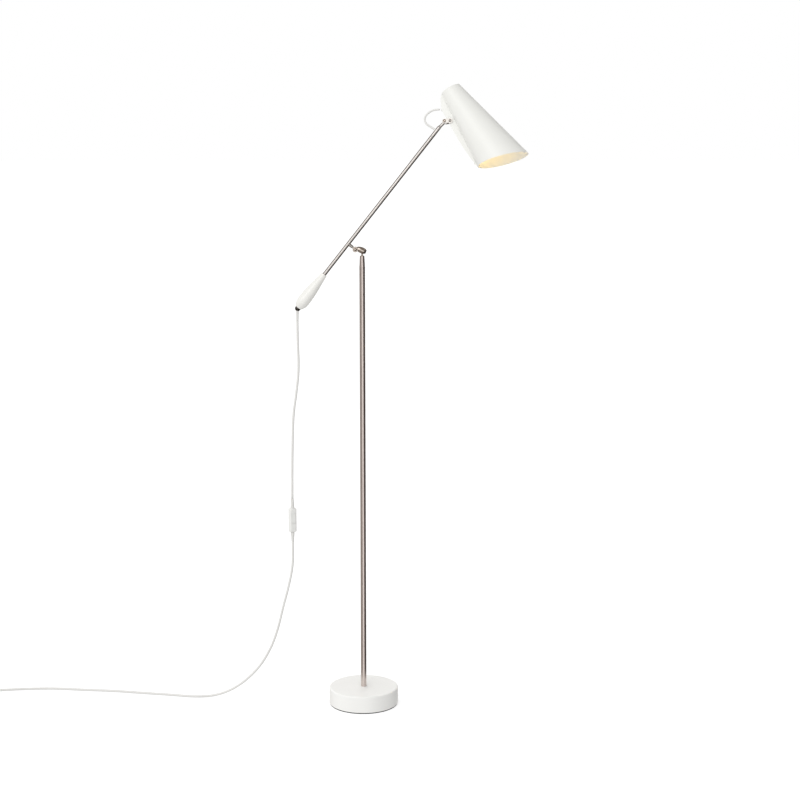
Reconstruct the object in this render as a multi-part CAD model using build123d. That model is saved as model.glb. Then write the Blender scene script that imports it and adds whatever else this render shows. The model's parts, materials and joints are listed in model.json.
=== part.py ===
from build123d import *
import math
import os

# Adjustable arm floor lamp: round weighted base, thin pole, tilting counterweighted arm and a swivelling
# cone shade. The origin is on the floor, on the pole's axis. +X points to the side that the shade hangs
# over, +Z is up. Lengths are in millimetres and angles in degrees.

# ---------------------------------------------------------------- driving dimensions
BASE_D = 150.0
BASE_TOP_Z = 38.0
COVER_WALL = 2.0
COVER_EDGE_R = 3.0
PAD_THICK = 2.5
PLATE_THICK = 1.5

POLE_D = 12.0
POLE_BORE_D = 9.6
POLE_SEAT_Z = 18.0
POLE_TOP_Z = 956.0
TIP_TOP_Z = 979.5
TIP_TOP_D = 9.6
PIN_R = 2.0
RUNNING_GAP = 0.05

ARM_TILT = 51.8
ARM_HINGE = Vector(-14.2, 0, 993.3)
ARM_OFFSET = 18.8
ARM_D = 8.0
ARM_BORE_D = 6.0
ARM_TUBE_LOW = -158.0
ARM_TUBE_HIGH = 289.5
WEIGHT_TOP = -82.0
WEIGHT_END = -171.0
WEIGHT_BORE_END = -160.0

HINGE_SCREW_R = 2.0
EAR_R = 5.7
EAR_INNER_Y = 3.2
EAR_OUTER_Y = 6.0
TONGUE_HALF = 2.4
KNUCKLE_SLOPE = 21.0

HEAD_SWIVEL = -19.0
ARM_END = 307.5
TILT_HINGE_S = 323.6
TILT_HINGE_H = -2.6
BARREL_R = 4.6
BARREL_HALF = 5.4

SHADE_S = 381.2
SHADE_H = 31.1
SHADE_TO_ARM = 105.0
SHADE_R_TOP = 21.0
SHADE_R_MOUTH = 49.8
SHADE_LENGTH = 186.5
SHADE_WALL = 1.0
TOP_CUT = 6.9
MOUTH_CUT = 21.3
SPINE_HALF = 6.2
SPINE_WALL = 1.0
CHEEK_OUTER = 8.2

LOOP_D = 4.0
MAINS_D = 5.0
FACE_GAP = 0.1
COIL_INNER_TURN_R = 25.0
COIL_OUTER_TURN_R = 30.0
COIL_BOTTOM_Z = 0.6
COIL_CENTRE = Vector(-868.0, 100.0, 0)

SWITCH_CENTRE = Vector(-151.9, 0, 411.0)
SWITCH_YAW = 24.0
SWITCH_SIZE = (16.0, 12.0, 52.0)
SWITCH_SIDE_R = 3.6
SWITCH_END_R = 2.4
SWITCH_WALL = 1.3
SWITCH_TAPER = 20.0
ROCKER_SIZE = (7.8, 20.4)
ROCKER_Z = 4.6
ROCKER_REST_TILT = -5.0

PLUG_BODY = (25.0, 35.0, 13.6)
PLUG_PIN_D = 4.0
PLUG_PIN_LENGTH = 19.0
PLUG_PIN_SPACING = 18.6

os.makedirs("parts", exist_ok=True)


# ---------------------------------------------------------------- helpers
def save(name, solid, place=None):
    """Write one node, moved from its own frame to the lamp's frame."""
    if place is not None:
        solid = place * solid
    export_step(solid, f"parts/{name}.step")
    return solid


def rod(radius, start, end):
    """A round bar between two points."""
    start, end = Vector(*start), Vector(*end)
    line = end - start
    base = Plane(origin=start, z_dir=line)
    return extrude(base * Circle(radius), line.length)


def tube(outer, inner, start, end):
    return rod(outer, start, end) - rod(inner, start, end)


def spun(points, axis=Axis.Z):
    """Turn a closed outline round an axis. The outline's first value is the radius, its second the height."""
    outline = make_face(Polyline([(r, 0, z) for r, z in points], close=True))
    return revolve(outline, axis)


def along_x(solid):
    """Lay a turned piece down so that its height runs along +X."""
    return Rot(0, 90, 0) * solid


def cord(name, points, diameter):
    """A cord's tube: straight runs joined by arcs as large as the two runs beside each corner allow."""
    points = [Vector(*p) for p in points]
    runs = [b - a for a, b in zip(points, points[1:])]
    radii = []
    for before, after in zip(runs, runs[1:]):
        turn = math.radians(before.get_angle(after))
        radii.append(0.45 * min(before.length, after.length) / math.tan(turn / 2))
    path = FilletPolyline(*points, radius=radii) if radii else Line(points[0], points[1])
    start = Plane(origin=points[0], z_dir=runs[0])
    solid = sweep(start * Circle(diameter / 2), path=path)
    section = math.pi * diameter ** 2 / 4
    print(f"{name}: length {path.length:.1f} mm, smallest radius {min(radii, default=0):.1f} mm, "
          f"volume / (section x length) {solid.volume / (section * path.length):.4f}")
    print("  runs", [round(r.length) for r in runs], "radii", [round(r) for r in radii])
    return solid


def screw_head(radius, height, slot):
    """A low domed head standing on z = 0, with a straight driving slot."""
    dome_r = (radius ** 2 + height ** 2) / (2 * height)
    head = Pos(0, 0, height - dome_r) * Sphere(dome_r) & Pos(0, 0, height / 2) * Cylinder(radius, height)
    return head - Pos(0, 0, height) * Box(2 * radius + 1, slot, height)


def cap_nut(across, height, bore):
    """A hexagon with a domed closed end, standing on z = 0 and bored from below."""
    hexagon = extrude(RegularPolygon(across / math.sqrt(3), 6), height * 0.55)
    dome = Pos(0, 0, height * 0.55) * Sphere(across / 2 - 0.2)
    dome = dome & Pos(0, 0, height) * Box(across, across, height * 0.9)
    return hexagon + dome - Pos(0, 0, height * 0.35) * Cylinder(bore, height * 0.7)


# ---------------------------------------------------------------- frames of the moving groups
arm_place = Pos(*ARM_HINGE) * Rot(0, -ARM_TILT, 0)
arm_axis = arm_place * Pos(0, 0, ARM_OFFSET)
head_place = arm_axis * Rot(HEAD_SWIVEL, 0, 0)
slope = math.radians(SHADE_TO_ARM)
shade_axis = Vector(math.cos(slope), 0, -math.sin(slope))
shade_back = Vector(-math.sin(slope), 0, -math.cos(slope))
shade_frame = Plane(origin=(SHADE_S, 0, SHADE_H), x_dir=shade_axis, z_dir=shade_back)
shade_place = head_place * shade_frame.location


def head_to_shade(s, h):
    """Turn a point along and across the arm into distances along and behind the shade's axis."""
    offset = Vector(s - SHADE_S, 0, h - SHADE_H)
    return offset.dot(shade_axis), offset.dot(shade_back)


# ---------------------------------------------------------------- base
base_r = BASE_D / 2
shell_r = base_r - COVER_WALL
cover = Pos(0, 0, (PAD_THICK + BASE_TOP_Z) / 2) * Cylinder(base_r, BASE_TOP_Z - PAD_THICK)
cover = fillet(cover.edges().group_by(Axis.Z)[-1], COVER_EDGE_R)
weight_top = BASE_TOP_Z - COVER_WALL
cover -= Pos(0, 0, weight_top / 2) * Cylinder(shell_r, weight_top)
cover -= Pos(0, 0, BASE_TOP_Z) * Cylinder(POLE_D / 2, 3 * COVER_WALL)
save("base_cover", cover)

plate_top = PAD_THICK + PLATE_THICK
NUT_POCKET_R = 12.0
NUT_POCKET_TOP = 12.0
STUD_R = 4.0
PLATE_SCREW_CIRCLE_R = 50.0
PLATE_SCREW_R = 1.6
PLATE_SCREW_HEAD_R = 3.1
PLATE_SCREW_LENGTH = 12.0
plate_screw_spots = [Pos(PLATE_SCREW_CIRCLE_R * math.cos(a), PLATE_SCREW_CIRCLE_R * math.sin(a), 0)
                     for a in (math.pi / 2 + i * 2 * math.pi / 3 for i in range(3))]
plate_screw = spun([(0, PAD_THICK), (PLATE_SCREW_HEAD_R, PAD_THICK), (PLATE_SCREW_R, plate_top),
                    (PLATE_SCREW_R, PAD_THICK + PLATE_SCREW_LENGTH), (0, PAD_THICK + PLATE_SCREW_LENGTH)])
plate_screws = [spot * plate_screw for spot in plate_screw_spots]

weight = rod(shell_r - 0.2, (0, 0, plate_top), (0, 0, weight_top))
weight -= rod(POLE_D / 2, (0, 0, POLE_SEAT_Z), (0, 0, weight_top + 1))
weight -= rod(STUD_R + 0.3, (0, 0, 0), (0, 0, POLE_SEAT_Z + 1))
weight -= rod(NUT_POCKET_R, (0, 0, 0), (0, 0, NUT_POCKET_TOP))
plate = rod(shell_r - 0.2, (0, 0, PAD_THICK), (0, 0, plate_top))
for screw in plate_screws:
    weight -= screw
    plate -= screw
save("base_weight", weight)
save("base_plate", plate)
save("base_plate_screws", Compound(children=plate_screws))
save("base_pad", rod(base_r - 1.0, (0, 0, 0), (0, 0, PAD_THICK)))

TIE_WASHER_THICK = 1.6
TIE_NUT_THICK = 4.0
nut_top = NUT_POCKET_TOP - TIE_WASHER_THICK
save("tie_washer", tube(10.5, STUD_R, (0, 0, nut_top), (0, 0, NUT_POCKET_TOP)))
tie_nut = Pos(0, 0, nut_top - TIE_NUT_THICK) * extrude(RegularPolygon(13 / math.sqrt(3), 6), TIE_NUT_THICK)
save("tie_nut", tie_nut - rod(STUD_R, (0, 0, 0), (0, 0, nut_top + 1)))

# ---------------------------------------------------------------- pole
PLUG_LENGTH = 30.0
TIP_SPIGOT = 16.0
TIP_EDGE = 0.3
BUSH_R = 3.5
BUSH_LOW = 962.0
BUSH_FLANGE_R = 4.0
BUSH_FLANGE = 0.3
CLIP_THICK = 1.0
CLIP_GAP = 0.4
pole_r = POLE_D / 2
bore_r = POLE_BORE_D / 2
save("pole_tube", tube(pole_r, bore_r, (0, 0, POLE_SEAT_Z), (0, 0, POLE_TOP_Z)))
foot_plug = rod(bore_r, (0, 0, POLE_SEAT_Z), (0, 0, POLE_SEAT_Z + PLUG_LENGTH))
foot_plug += rod(STUD_R, (0, 0, nut_top - TIE_NUT_THICK - 0.4), (0, 0, POLE_SEAT_Z))
save("pole_foot_plug", foot_plug)
tip_r = TIP_TOP_D / 2
tip = spun([(0, POLE_TOP_Z - TIP_SPIGOT), (bore_r, POLE_TOP_Z - TIP_SPIGOT), (bore_r, POLE_TOP_Z),
            (pole_r, POLE_TOP_Z), (tip_r, TIP_TOP_Z - TIP_EDGE), (tip_r - TIP_EDGE, TIP_TOP_Z),
            (0, TIP_TOP_Z)])
tip -= rod(PIN_R + 0.4, (0, 0, POLE_TOP_Z - TIP_SPIGOT - 1), (0, 0, TIP_TOP_Z))
tip -= rod(BUSH_R, (0, 0, BUSH_LOW), (0, 0, TIP_TOP_Z + 1))
save("pole_tip", tip)
bush = rod(BUSH_R, (0, 0, BUSH_LOW), (0, 0, TIP_TOP_Z))
bush += rod(BUSH_FLANGE_R, (0, 0, TIP_TOP_Z), (0, 0, TIP_TOP_Z + BUSH_FLANGE))
save("swivel_bush", bush - rod(PIN_R + RUNNING_GAP, (0, 0, BUSH_LOW - 1), (0, 0, TIP_TOP_Z + 2)))

# ---------------------------------------------------------------- swivel head on top of the pole
KNUCKLE_CENTRE = Vector(-1.0, 0, 991.4)
COLLAR = 0.5
KNUCKLE_LOW, KNUCKLE_HIGH = -10.5, 10.0
collar_z = TIP_TOP_Z + BUSH_FLANGE + 0.05
clip_z = POLE_TOP_Z - TIP_SPIGOT - CLIP_GAP
groove_r = PIN_R - 0.4
hx, hz = ARM_HINGE.X, ARM_HINGE.Z

barrel_outline = make_face(
    Spline([(KNUCKLE_LOW, 0, 4.2), (-4.0, 0, 6.2), (1.5, 0, 6.6), (7.0, 0, 5.5), (KNUCKLE_HIGH, 0, 3.4)])
    + Polyline([(KNUCKLE_HIGH, 0, 3.4), (KNUCKLE_HIGH, 0, 0), (KNUCKLE_LOW, 0, 0), (KNUCKLE_LOW, 0, 4.2)]))
barrel = Pos(*KNUCKLE_CENTRE) * Rot(0, KNUCKLE_SLOPE, 0) * revolve(barrel_outline, Axis.X)
ears = rod(EAR_R, (hx, -EAR_OUTER_Y, hz), (hx, EAR_OUTER_Y, hz))
ears = fillet(ears.edges().filter_by(GeomType.CIRCLE), 0.8)
knuckle = barrel + ears
knuckle -= rod(EAR_R + 1.0, (hx, -EAR_INNER_Y, hz), (hx, EAR_INNER_Y, hz))
knuckle -= rod(HINGE_SCREW_R, (hx, -20, hz), (hx, 20, hz))
knuckle += rod(PIN_R + 0.9, (0, 0, collar_z), (0, 0, collar_z + COLLAR))
knuckle += rod(PIN_R - 0.15, (0, 0, collar_z), (0, 0, KNUCKLE_CENTRE.Z))
knuckle += rod(PIN_R, (0, 0, clip_z - CLIP_THICK - 2.0), (0, 0, collar_z))
knuckle -= tube(PIN_R + 1, groove_r, (0, 0, clip_z - CLIP_THICK), (0, 0, clip_z))
save("pole_knuckle", knuckle)
save("swivel_clip", tube(4.2, groove_r, (0, 0, clip_z - CLIP_THICK), (0, 0, clip_z)))

SCREW_HEAD_R = 3.6
SCREW_HEAD = 2.2
SPRING_WASHER = 0.8
NUT_ACROSS = 7.0
CAP_NUT_HEIGHT = 5.0


def hinge_screw(outer, washer):
    """A cross screw along Y: head on the near side, shank through both ears and the far cap nut."""
    head = Rot(90, 0, 0) * screw_head(SCREW_HEAD_R, SCREW_HEAD, 0.9)
    shank_end = outer + washer + CAP_NUT_HEIGHT * 0.6
    return Pos(0, -outer, 0) * head + rod(HINGE_SCREW_R, (0, -outer, 0), (0, shank_end, 0))


def hinge_nut(offset):
    nut = cap_nut(NUT_ACROSS, CAP_NUT_HEIGHT, HINGE_SCREW_R)
    return Pos(0, offset, 0) * Rot(-90, 0, 0) * nut


save("knuckle_screw", hinge_screw(EAR_OUTER_Y, SPRING_WASHER), arm_place)
spring_washer = tube(4.3, HINGE_SCREW_R, (0, EAR_OUTER_Y, 0), (0, EAR_OUTER_Y + SPRING_WASHER, 0))
save("knuckle_spring_washer", spring_washer, arm_place)
save("knuckle_nut", hinge_nut(EAR_OUTER_Y + SPRING_WASHER), arm_place)

# ---------------------------------------------------------------- arm
FRICTION_WASHER = 0.5
PEG_R = 3.2
arm_r = ARM_D / 2
arm_bore_r = ARM_BORE_D / 2
screw_clear_r = HINGE_SCREW_R + RUNNING_GAP

tongue = rod(EAR_R - 0.1, (0, -TONGUE_HALF, 0), (0, TONGUE_HALF, 0))
tongue += rod(TONGUE_HALF - 0.1, (0, 0, 0), (0, 0, EAR_R + 2.5))
tongue += rod(PEG_R, (0, 0, EAR_R + 1.9), (0, 0, ARM_OFFSET))
tongue -= rod(screw_clear_r, (0, -9, 0), (0, 9, 0))
tongue -= rod(arm_r, (-20, 0, ARM_OFFSET), (20, 0, ARM_OFFSET))
save("arm_knuckle", tongue, arm_place)
washers = [tube(EAR_R - 0.5, screw_clear_r, (0, side * TONGUE_HALF, 0),
                (0, side * (TONGUE_HALF + FRICTION_WASHER), 0)) for side in (-1, 1)]
save("knuckle_friction_washers", arm_place * Compound(children=washers))

SPIGOT_LOW = 276.0
GROOVE_S = 281.5
FERRULE_SCREW_R = 1.5
arm_tube = tube(arm_r, arm_bore_r, (ARM_TUBE_LOW, 0, 0), (ARM_TUBE_HIGH, 0, 0))
arm_tube -= rod(FERRULE_SCREW_R, (GROOVE_S, -arm_r - 1, 0), (GROOVE_S, 0, 0))
save("arm_tube", arm_tube, arm_axis)
save("ferrule_screw", rod(FERRULE_SCREW_R, (GROOVE_S, -arm_r + 0.1, 0), (GROOVE_S, -2.7, 0)), arm_axis)
save("arm_lead", rod(2.0, (ARM_TUBE_LOW, 0, 0), (SPIGOT_LOW - 2, 0, 0)), arm_axis)

# The counterweight is a long drop: slim at the top, fullest three quarters of the way down.
GRUB_S = -150.0
GRUB_R = 1.5
weight_outline = make_face(
    Spline([(WEIGHT_TOP, 0, 6.2), (-100.0, 0, 8.4), (-122.0, 0, 11.4), (-146.0, 0, 13.0),
            (-162.0, 0, 11.6), (WEIGHT_END, 0, 6.4)])
    + Polyline([(WEIGHT_END, 0, 6.4), (WEIGHT_END, 0, 0), (WEIGHT_TOP, 0, 0), (WEIGHT_TOP, 0, 6.2)]))
counterweight = revolve(weight_outline, Axis.X)
counterweight -= rod(arm_r, (WEIGHT_BORE_END, 0, 0), (WEIGHT_TOP + 1, 0, 0))
counterweight -= rod(3.0, (WEIGHT_END - 1, 0, 0), (WEIGHT_BORE_END, 0, 0))
counterweight -= rod(GRUB_R, (GRUB_S, arm_r, 0), (GRUB_S, 20, 0))
save("counterweight", counterweight, arm_axis)
save("counterweight_screw", rod(GRUB_R, (GRUB_S, arm_r, 0), (GRUB_S, 12.4, 0)), arm_axis)

# The cap closes the drop's lower end with a dome. The cord leaves the dome straight down when the arm is
# at rest, through a tapered sleeve.
CAP_R = 6.0
CAP_SKIRT = 2.0
SLEEVE_LENGTH = 20.0
SLEEVE_TOP_R = 3.1
SLEEVE_END_R = 2.6
dome_centre = arm_axis * Pos(WEIGHT_END - CAP_SKIRT, 0, 0)
dome = Pos(WEIGHT_END - CAP_SKIRT, 0, 0) * Sphere(CAP_R)
dome = dome & Pos(WEIGHT_END - CAP_SKIRT - CAP_R, 0, 0) * Box(2 * CAP_R, 4 * CAP_R, 4 * CAP_R)
cap = dome + rod(CAP_R, (WEIGHT_END - CAP_SKIRT, 0, 0), (WEIGHT_END, 0, 0))
exit_x = dome_centre.position.X - 1.2
exit_z = dome_centre.position.Z - math.sqrt(CAP_R ** 2 - 1.2 ** 2)
sleeve_end = Vector(exit_x, 0, exit_z - SLEEVE_LENGTH)
sleeve_line = Plane(origin=(exit_x, 0, exit_z + 2.0), z_dir=(0, 0, -1))
sleeve = loft([sleeve_line * Circle(SLEEVE_TOP_R),
               sleeve_line.offset(SLEEVE_LENGTH + 2.0) * Circle(SLEEVE_END_R)])
cap = arm_axis * cap - sleeve
save("counterweight_cap", cap)
save("cord_sleeve", sleeve)

# ---------------------------------------------------------------- shade knuckle: swivels in the arm's end
spigot_r = arm_bore_r - RUNNING_GAP
lead_bore_r = 1.9
OUTLET_S = 297.2
OUTLET_R = 2.8
NECK_R = 3.0
NECK_BEND = Vector(ARM_END + 3.0, 0, -0.7)
hinge_spot = Pos(TILT_HINGE_S, 0, TILT_HINGE_H)
ferrule = rod(arm_r, (ARM_TUBE_HIGH, 0, 0), (ARM_END - 1.5, 0, 0))
ferrule += rod(spigot_r, (SPIGOT_LOW, 0, 0), (ARM_TUBE_HIGH, 0, 0))
neck_start = Plane(origin=(ARM_END - 1.5, 0, 0), z_dir=(1, 0, 0))
neck_end = Plane(origin=NECK_BEND, z_dir=Vector(TILT_HINGE_S, 0, TILT_HINGE_H) - NECK_BEND)
ferrule += loft([neck_start * Circle(arm_r), neck_end * Circle(NECK_R)])
ferrule += rod(NECK_R, tuple(NECK_BEND), (TILT_HINGE_S, 0, TILT_HINGE_H))
ferrule += hinge_spot * rod(BARREL_R, (0, -BARREL_HALF, 0), (0, BARREL_HALF, 0))
ferrule -= hinge_spot * rod(screw_clear_r, (0, -9, 0), (0, 9, 0))
ferrule -= rod(lead_bore_r, (SPIGOT_LOW - 1, 0, 0), (OUTLET_S + 1, 0, 0))
ferrule -= tube(spigot_r + 1, spigot_r - 0.4, (GROOVE_S - 2, 0, 0), (GROOVE_S + 2, 0, 0))
ferrule -= rod(OUTLET_R, (OUTLET_S, 0, 0), (OUTLET_S, 0, 9))
save("shade_knuckle", ferrule, head_place)
GROMMET_TOP_H = 5.2
outlet_grommet = tube(OUTLET_R, LOOP_D / 2, (OUTLET_S, 0, 0.4), (OUTLET_S, 0, GROMMET_TOP_H))
save("outlet_grommet", outlet_grommet, head_place)
tilt_washers = [tube(BARREL_R - 0.3, screw_clear_r, (0, side * BARREL_HALF, 0),
                     (0, side * (BARREL_HALF + FRICTION_WASHER), 0)) for side in (-1, 1)]
save("tilt_friction_washers", head_place * hinge_spot * Compound(children=tilt_washers))

# ---------------------------------------------------------------- shade
taper = (SHADE_R_MOUTH - SHADE_R_TOP) / SHADE_LENGTH


def cone(inset):
    """The shade's full cone, or the hollow of it, long enough to be trimmed at both ends."""
    low, high = -12.0, SHADE_LENGTH + 40.0
    radius = SHADE_R_TOP - inset
    return along_x(spun([(0, low), (radius + taper * low, low), (radius + taper * high, high), (0, high)]))


def keep_between_cuts(solid):
    """Trim a piece of the shade with the two slanted planes of its top rim and its mouth."""
    size = 400.0
    block = Pos(size / 2, 0, 0) * Box(size, size, size)
    below_top = Rot(0, -TOP_CUT, 0) * block
    past_mouth = Pos(SHADE_LENGTH, 0, 0) * Rot(0, -MOUTH_CUT, 0) * block
    return (solid & below_top) - past_mouth


SLOT_START, SLOT_END, SLOT_HALF = 20.0, 120.0, 4.5
SPINE_START, SPINE_END = -0.5, 167.0
cone_outer = cone(0)
shell = keep_between_cuts(cone_outer - cone(SHADE_WALL))
shell -= Pos((SLOT_START + SLOT_END) / 2, 0, 50) * Box(SLOT_END - SLOT_START, 2 * SLOT_HALF, 100)

# The spine bows out behind the slot, fullest in its upper third, and runs back into the cone at both ends.
spine_curve = [(SPINE_START, 22.6), (12.0, 32.2), (28.0, 38.6), (50.0, 41.8), (80.0, 45.2), (120.0, 48.2),
               (SPINE_END, 47.6)]


def spine_block(inset, half):
    """The bowed block behind the shade's axis, up to the spine's back line less an inset."""
    first, last = spine_curve[0], spine_curve[-1]
    start = (first[0] + inset, 0, first[1] - inset)
    end = (last[0] - inset, 0, last[1] - inset)
    back = Spline([start] + [(t, 0, e - inset) for t, e in spine_curve[1:-1]] + [end])
    rest = Polyline([end, (end[0], 0, 15), (start[0], 0, 15), start])
    side = make_face(back + rest)
    return extrude(side, half, dir=(0, 1, 0), both=True)


spine = spine_block(0, SPINE_HALF) - spine_block(SPINE_WALL, SPINE_HALF - SPINE_WALL) - cone_outer
spine = max(spine.solids(), key=lambda s: s.volume)

LEAD_T, LEAD_E = 22.8, 38.5
LEAD_DIR = Vector(0.36, 0, -0.933).normalized()
lead_in = Vector(LEAD_T, 0, LEAD_E)
GROMMET_R = 3.1
grommet_out = lead_in - LEAD_DIR * 1.2
grommet_in = lead_in + LEAD_DIR * 5.0
grommet_hole = rod(GROMMET_R, grommet_out, grommet_in)
spine -= grommet_hole

HINGE_T, HINGE_E = head_to_shade(TILT_HINGE_S, TILT_HINGE_H)
FIX_T, FIX_E = 54.5, 37.2
RIVET_R = 2.0
fix_hole = rod(RIVET_R, (FIX_T, -20, FIX_E), (FIX_T, 20, FIX_E))
spine -= fix_hole
SPINE_RIVETS = ((8.0, 28.6), (157.0, 48.0))
RIVET_SHANK_R = 1.3
rivets = []
for t, e in SPINE_RIVETS:
    wall_e = SHADE_R_TOP + taper * t
    shank = rod(RIVET_SHANK_R, (t, 0, wall_e - SHADE_WALL - 0.6), (t, 0, e + 1.6))
    inner_head = Pos(t, 0, wall_e - SHADE_WALL - 0.3) * Rot(180, 0, 0) * screw_head(2.4, 1.2, 0.01)
    outer_head = Pos(t, 0, e + 0.9) * screw_head(2.4, 1.2, 0.01)
    rivets.append(shank + inner_head + outer_head)
for rivet in rivets:
    shell -= rivet
    spine -= rivet
save("shade_shell", shell, shade_place)
save("shade_spine", spine, shade_place)
save("spine_rivets", shade_place * Compound(children=rivets))
grommet = grommet_hole - rod(LOOP_D / 2, grommet_out, grommet_in)
save("spine_grommet", grommet, shade_place)

CHEEK_HINGE_R = 4.8
CHEEK_FIX_R = 5.2
CHEEK_WAIST = 8.4


def cheek(side):
    """One flat cheek of the bracket, from the tilt hinge to the rivet through the spine."""
    line = Vector(FIX_T - HINGE_T, 0, FIX_E - HINGE_E)
    plane = Plane(origin=(HINGE_T, side * SPINE_HALF, HINGE_E), x_dir=line, z_dir=(0, side, 0))
    shape = plane * Circle(CHEEK_HINGE_R) + plane * Pos(line.length, 0) * Circle(CHEEK_FIX_R)
    shape += plane * Pos(line.length / 2, 0) * Rectangle(line.length, CHEEK_WAIST)
    plate = extrude(shape, CHEEK_OUTER - SPINE_HALF)
    plate -= rod(HINGE_SCREW_R, (HINGE_T, -20, HINGE_E), (HINGE_T, 20, HINGE_E))
    return plate - fix_hole


save("shade_bracket", shade_place * Compound(children=[cheek(-1), cheek(1)]))
fix_rivet = rod(RIVET_R, (FIX_T, -CHEEK_OUTER, FIX_E), (FIX_T, CHEEK_OUTER, FIX_E))
for side in (-1, 1):
    head = Rot(-90 * side, 0, 0) * screw_head(3.2, 1.4, 0.01)
    fix_rivet += Pos(FIX_T, side * CHEEK_OUTER, FIX_E) * head
save("bracket_rivet", fix_rivet, shade_place)
save("tilt_screw", hinge_screw(CHEEK_OUTER, 0), head_place * hinge_spot)
save("tilt_nut", hinge_nut(CHEEK_OUTER), head_place * hinge_spot)

# ---------------------------------------------------------------- lampholder and bulb, on the shade's axis
SPIDER_T = 15.0
SPIDER_THICK = 1.2
NIPPLE_R = 5.0
CUP_R = 13.5
CUP_END = 36.0
SKIRT_END = 74.0
SKIRT_WALL = 1.2
CORE_END = 60.0
SOCKET_R = 7.3
BULB_CAP_R = 6.9
BULB_CAP_START, BULB_CAP_END = 43.0, 66.0
BULB_R = 22.5
BULB_CENTRE_T = 101.0
spider_r = SHADE_R_TOP - SHADE_WALL - 0.1 + taper * SPIDER_T
spider = rod(spider_r, (SPIDER_T, 0, 0), (SPIDER_T + SPIDER_THICK, 0, 0))
spider -= rod(NIPPLE_R, (0, 0, 0), (30, 0, 0))
for turn in (45, 135, 225, 315):
    window = Rot(turn, 0, 0) * Pos(SPIDER_T, 0, 14.3) * Box(10, 9.0, 7.0)
    spider -= fillet(window.edges().filter_by(Axis.X), 2.0)
save("shade_spider", spider, shade_place)
nipple_end = SPIDER_T + SPIDER_THICK + 5.0
save("holder_nipple", tube(NIPPLE_R, 3.4, (SPIDER_T - 4.0, 0, 0), (nipple_end, 0, 0)), shade_place)

cup_start = SPIDER_T + SPIDER_THICK
cup = along_x(spun([(0, cup_start), (CUP_R - 4.0, cup_start), (CUP_R, cup_start + 5.0), (CUP_R, CUP_END),
                    (0, CUP_END)]))
cup -= along_x(spun([(0, cup_start + 2.0), (CUP_R - 5.0, cup_start + 2.0), (CUP_R - 1.5, cup_start + 6.0),
                     (CUP_R - 1.5, CUP_END), (0, CUP_END)]))
cup -= rod(NIPPLE_R, (0, 0, 0), (nipple_end, 0, 0))
lead_end = lead_in + LEAD_DIR * 28.0
lead = rod(LOOP_D / 2, grommet_out, lead_end)
cup -= lead
save("holder_cup", cup, shade_place)
save("holder_lead", lead, shade_place)
save("holder_skirt", tube(CUP_R, CUP_R - SKIRT_WALL, (CUP_END, 0, 0), (SKIRT_END, 0, 0)), shade_place)
core = rod(CUP_R - SKIRT_WALL, (CUP_END, 0, 0), (CORE_END, 0, 0))
save("holder_core", core - rod(SOCKET_R, (BULB_CAP_START - 3.0, 0, 0), (CORE_END + 1, 0, 0)), shade_place)

bulb_cap = along_x(spun([(0, BULB_CAP_START), (2.4, BULB_CAP_START), (4.2, BULB_CAP_START + 3.0),
                         (BULB_CAP_R, BULB_CAP_START + 4.0), (BULB_CAP_R, BULB_CAP_END), (0, BULB_CAP_END)]))
save("bulb_cap", bulb_cap, shade_place)
bulb_end = BULB_CENTRE_T + BULB_R


def bulb_solid(inset):
    """The bulb's round glass with its neck, or the hollow inside it."""
    globe = Pos(BULB_CENTRE_T, 0, 0) * Sphere(BULB_R - inset)
    neck = along_x(spun([(0, BULB_CAP_END + inset), (BULB_CAP_R - inset, BULB_CAP_END + inset),
                         (18.2 - inset, 88.0), (0, 88.0)]))
    return globe + neck


save("bulb_glass", bulb_solid(0) - bulb_solid(0.8), shade_place)

# ---------------------------------------------------------------- loop of flex from the arm's end to the shade
spine_mouth = shade_frame.location * Pos(*grommet_out)
loop_dir = (shade_axis * LEAD_DIR.X + shade_back * LEAD_DIR.Z).normalized()
loop_end = spine_mouth.position - loop_dir * FACE_GAP
loop_before = loop_end - loop_dir * 11.0
loop_route = [
    (OUTLET_S, 0, GROMMET_TOP_H),
    (296.4, 0, 14.6),
    (294.6, 0, 27.4),
    (302.2, 0, 38.7),
    (316.5, 0, 38.2),
    tuple(loop_before),
    tuple(loop_end),
]
save("shade_lead_loop", cord("shade_lead_loop", loop_route, LOOP_D), head_place)

# ---------------------------------------------------------------- mains cord, hanging part
switch_place = Pos(*SWITCH_CENTRE) * Rot(0, 0, SWITCH_YAW)
switch_w, switch_d, switch_l = SWITCH_SIZE
taper_top_z = SWITCH_CENTRE.Z + switch_l / 2 + SWITCH_TAPER
taper_low_z = SWITCH_CENTRE.Z - switch_l / 2 - SWITCH_TAPER
drop_route = [
    (exit_x, 0, sleeve_end.Z - FACE_GAP),
    (exit_x, 0, 800.0),
    (-134.8, 0, 742.0),
    (-140.2, 0, 692.0),
    (-148.2, 0, 640.0),
    (-150.2, 0, 576.0),
    (-151.6, 0, 512.0),
    (SWITCH_CENTRE.X, 0, taper_top_z),
]
save("mains_cord_drop", cord("mains_cord_drop", drop_route, MAINS_D))

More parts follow.
